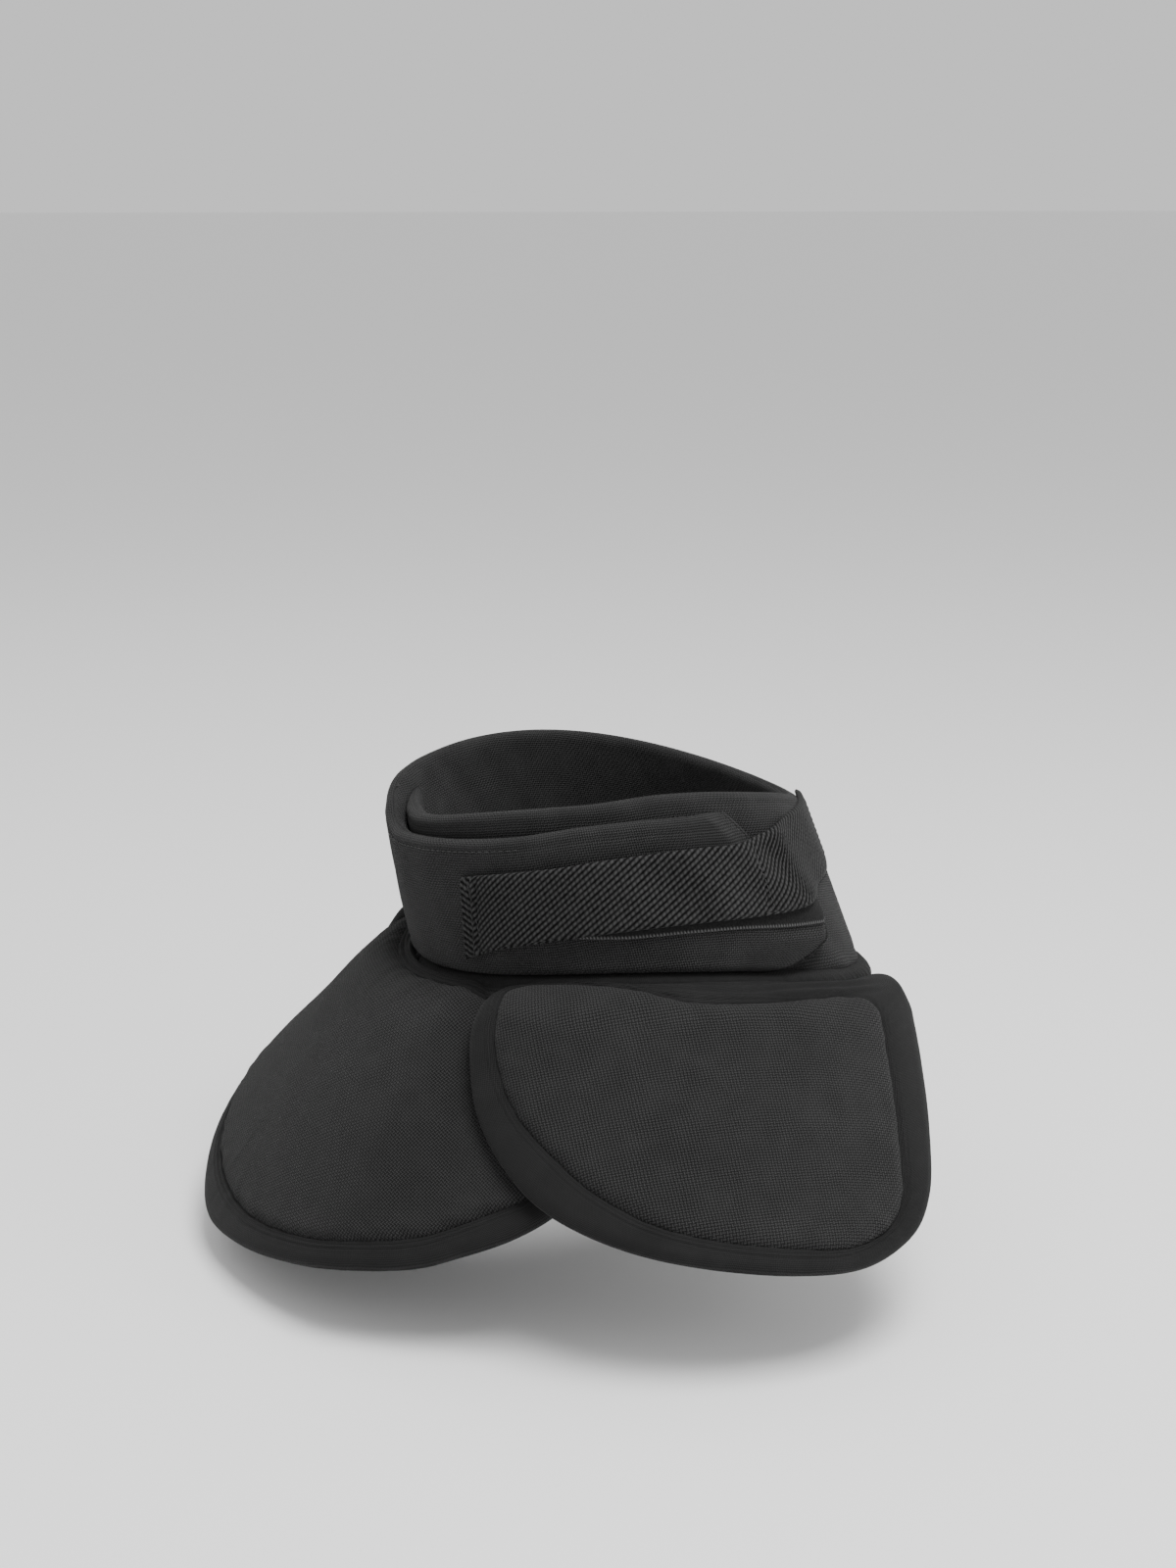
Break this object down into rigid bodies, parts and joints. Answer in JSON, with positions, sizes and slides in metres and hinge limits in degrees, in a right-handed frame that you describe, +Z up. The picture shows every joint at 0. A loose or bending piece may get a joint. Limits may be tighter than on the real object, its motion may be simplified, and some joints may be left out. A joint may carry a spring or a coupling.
{
  "type": "padded neck protector",
  "caption": "Soft padded collar wrapped round the neck and closed by a strap, with a padded bib over the chest and padded flaps over the back of the shoulders.",
  "frame": {"origin": "centre of the neck opening, at the seam between the collar and the skirts", "axes": "+Z up along the wearer's neck, the wearer faces -Y, +X to the wearer's left"},
  "size_m": [0.3078, 0.2424, 0.1586],
  "materials": {
    "collar_cloth": "close plain weave nylon, matt, stretched over padding",
    "panel_cloth": "coarse plain weave nylon over padding, matt",
    "border_cloth": "fine smooth weave over a soft filling, faint sheen",
    "webbing": "elastic twill webbing with stitched end",
    "loop_tape": "brushed loop tape with a woven selvedge"
  },
  "bodies": {
    "root": {"collar_band": "collar_cloth", "closure_strap": "webbing", "loop_patch": "loop_tape", "base_welt": "border_cloth", "front_bib_panel": "panel_cloth", "front_bib_border": "border_cloth", "rear_left_panel": "panel_cloth", "rear_left_border": "border_cloth", "rear_right_panel": "panel_cloth", "rear_right_border": "border_cloth"}
  },
  "joints": []
}
